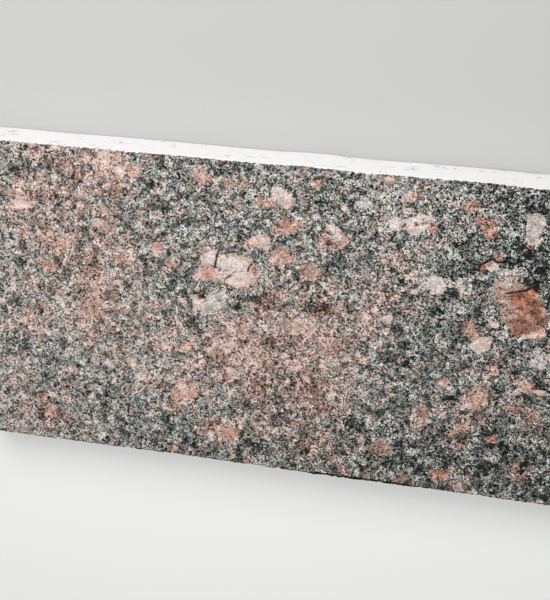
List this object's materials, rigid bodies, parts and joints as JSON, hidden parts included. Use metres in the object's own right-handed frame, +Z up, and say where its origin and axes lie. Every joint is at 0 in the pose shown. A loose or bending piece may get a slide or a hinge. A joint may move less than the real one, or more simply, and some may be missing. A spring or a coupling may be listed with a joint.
{
  "type": "granite paving slab",
  "caption": "Rectangular natural-stone paving slab with a rough flamed wearing face in pink and grey granite, pale sawn edges with broken arrises and a flat sawn bed.",
  "frame": {"origin": "centre of the bed face, on the floor", "axes": "+X along the length, +Y across the width, +Z up out of the wearing face"},
  "size_m": [0.6, 0.3, 0.04],
  "materials": {
    "granite": "flamed matt wearing face with pink and white feldspar crystals in a grey and black ground; pale sawn edges and bed"
  },
  "bodies": {
    "root": {"granite_slab": "granite"}
  },
  "joints": []
}
